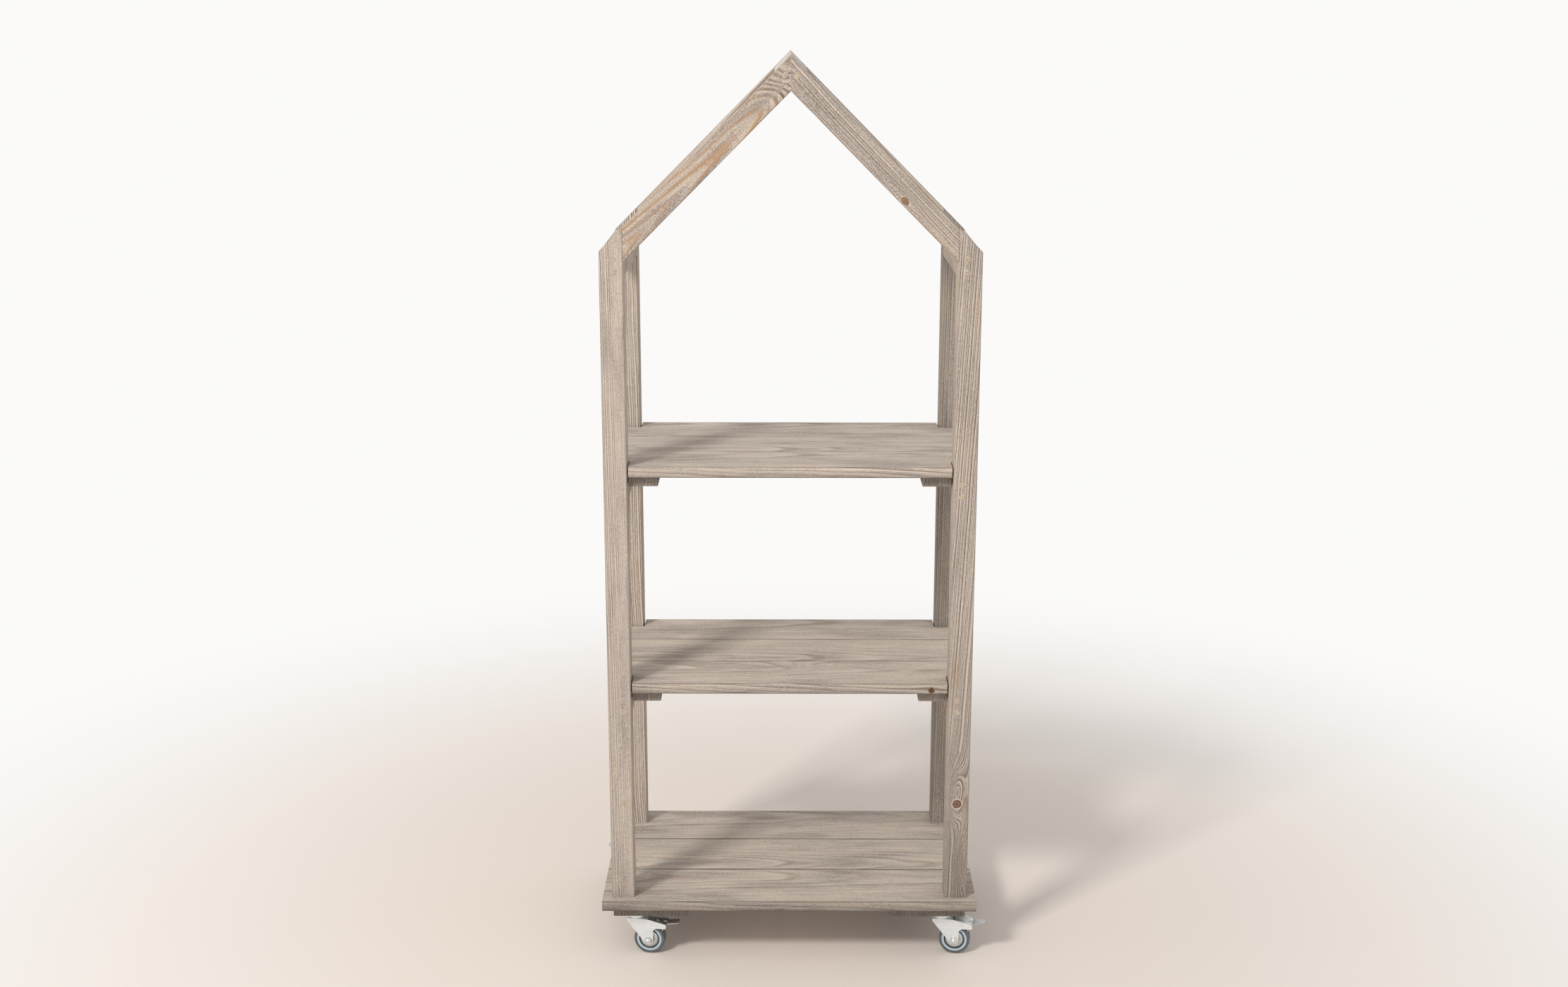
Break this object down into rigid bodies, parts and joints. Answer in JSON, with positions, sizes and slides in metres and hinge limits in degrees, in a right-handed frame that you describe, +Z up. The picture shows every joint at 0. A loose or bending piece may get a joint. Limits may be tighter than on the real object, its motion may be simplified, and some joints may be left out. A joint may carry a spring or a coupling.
{
  "type": "freestanding shelf",
  "caption": "House-shaped open shelf of washed pine: posts, a gable of rafters and a ridge rail, planked shelves and a planked base that rolls on braked swivel castors.",
  "frame": {"origin": "on the floor under the middle of the shelf", "axes": "+X to the right of the front, +Y from front to back, +Z up"},
  "size_m": [0.6376, 0.364, 1.429],
  "materials": {
    "washed_pine": "wire-brushed, grey-brown washed pine, matt",
    "wood_filler": "pale rough filler, matt",
    "zinc_plate": "satin zinc",
    "bright_steel": "bright zinc",
    "dark_chrome": "polished, dark reflections",
    "wheel_plastic": "pale blue-grey, satin",
    "grey_tread": "dark grey, matt"
  },
  "bodies": {
    "frame": {"base_batten_left": "washed_pine", "base_batten_right": "washed_pine", "base_plank_front": "washed_pine", "base_plank_middle": "washed_pine", "base_plank_rear": "washed_pine", "castor_head_front_left": "zinc_plate", "castor_head_front_right": "zinc_plate", "castor_head_rear_left": "zinc_plate", "castor_head_rear_right": "zinc_plate", "eave_rail_left": "washed_pine", "eave_rail_right": "washed_pine", "frame_screws": "bright_steel", "kingpins": "zinc_plate", "lower_batten_left": "washed_pine", "lower_batten_right": "washed_pine", "lower_plank_front": "washed_pine", "lower_plank_middle": "washed_pine", "lower_plank_rear": "washed_pine", "lower_rail_left": "washed_pine", "lower_rail_right": "washed_pine", "plank_screws": "bright_steel", "post_front_left": "washed_pine", "post_front_right": "washed_pine", "post_rear_left": "washed_pine", "post_rear_right": "washed_pine", "rafter_front_left": "washed_pine", "rafter_front_right": "washed_pine", "rafter_rear_left": "washed_pine", "rafter_rear_right": "washed_pine", "ridge_rail": "washed_pine", "screw_fillers": "wood_filler", "stem_sockets": "bright_steel", "swivel_balls": "bright_steel", "upper_batten_left": "washed_pine", "upper_batten_right": "washed_pine", "upper_plank_front": "washed_pine", "upper_plank_middle": "washed_pine", "upper_plank_rear": "washed_pine", "upper_rail_left": "washed_pine", "upper_rail_right": "washed_pine"},
    "fork_front_left": {"castor_fork_front_left": "zinc_plate", "axle_bolt_front_left": "bright_steel"},
    "wheel_front_left": {"castor_wheel_front_left": "wheel_plastic", "castor_tyre_front_left": "grey_tread"},
    "pedal_front_left": {"brake_pedal_front_left": "dark_chrome"},
    "fork_front_right": {"castor_fork_front_right": "zinc_plate", "axle_bolt_front_right": "bright_steel"},
    "wheel_front_right": {"castor_wheel_front_right": "wheel_plastic", "castor_tyre_front_right": "grey_tread"},
    "pedal_front_right": {"brake_pedal_front_right": "dark_chrome"},
    "fork_rear_left": {"castor_fork_rear_left": "zinc_plate", "axle_bolt_rear_left": "bright_steel"},
    "wheel_rear_left": {"castor_wheel_rear_left": "wheel_plastic", "castor_tyre_rear_left": "grey_tread"},
    "pedal_rear_left": {"brake_pedal_rear_left": "dark_chrome"},
    "fork_rear_right": {"castor_fork_rear_right": "zinc_plate", "axle_bolt_rear_right": "bright_steel"},
    "wheel_rear_right": {"castor_wheel_rear_right": "wheel_plastic", "castor_tyre_rear_right": "grey_tread"},
    "pedal_rear_right": {"brake_pedal_rear_right": "dark_chrome"}
  },
  "joints": [
    {"name": "swivel_front_left", "type": "hinge", "parent": "frame", "child": "fork_front_left", "pos_m": [-0.248, -0.139, 0.065], "axis": [0, 0, 1], "continuous": true},
    {"name": "spin_front_left", "type": "hinge", "parent": "fork_front_left", "child": "wheel_front_left", "pos_m": [-0.22627, -0.14244, 0.025], "axis": [0.1564, 0.9877, 0], "continuous": true},
    {"name": "brake_front_left", "type": "hinge", "parent": "fork_front_left", "child": "pedal_front_left", "pos_m": [-0.21985, -0.14346, 0.05], "axis": [-0.1564, -0.9877, 0], "range_deg": [0, 10]},
    {"name": "swivel_front_right", "type": "hinge", "parent": "frame", "child": "fork_front_right", "pos_m": [0.248, -0.139, 0.065], "axis": [0, 0, 1], "continuous": true},
    {"name": "spin_front_right", "type": "hinge", "parent": "fork_front_right", "child": "wheel_front_right", "pos_m": [0.26973, -0.14244, 0.025], "axis": [0.1564, 0.9877, 0], "continuous": true},
    {"name": "brake_front_right", "type": "hinge", "parent": "fork_front_right", "child": "pedal_front_right", "pos_m": [0.27615, -0.14346, 0.05], "axis": [-0.1564, -0.9877, 0], "range_deg": [0, 10]},
    {"name": "swivel_rear_left", "type": "hinge", "parent": "frame", "child": "fork_rear_left", "pos_m": [-0.248, 0.139, 0.065], "axis": [0, 0, 1], "continuous": true},
    {"name": "spin_rear_left", "type": "hinge", "parent": "fork_rear_left", "child": "wheel_rear_left", "pos_m": [-0.26973, 0.14244, 0.025], "axis": [-0.1564, -0.9877, 0], "continuous": true},
    {"name": "brake_rear_left", "type": "hinge", "parent": "fork_rear_left", "child": "pedal_rear_left", "pos_m": [-0.27615, 0.14346, 0.05], "axis": [0.1564, 0.9877, 0], "range_deg": [0, 10]},
    {"name": "swivel_rear_right", "type": "hinge", "parent": "frame", "child": "fork_rear_right", "pos_m": [0.248, 0.139, 0.065], "axis": [0, 0, 1], "continuous": true},
    {"name": "spin_rear_right", "type": "hinge", "parent": "fork_rear_right", "child": "wheel_rear_right", "pos_m": [0.22627, 0.14244, 0.025], "axis": [-0.1564, -0.9877, 0], "continuous": true},
    {"name": "brake_rear_right", "type": "hinge", "parent": "fork_rear_right", "child": "pedal_rear_right", "pos_m": [0.21985, 0.14346, 0.05], "axis": [0.1564, 0.9877, 0], "range_deg": [0, 10]}
  ]
}
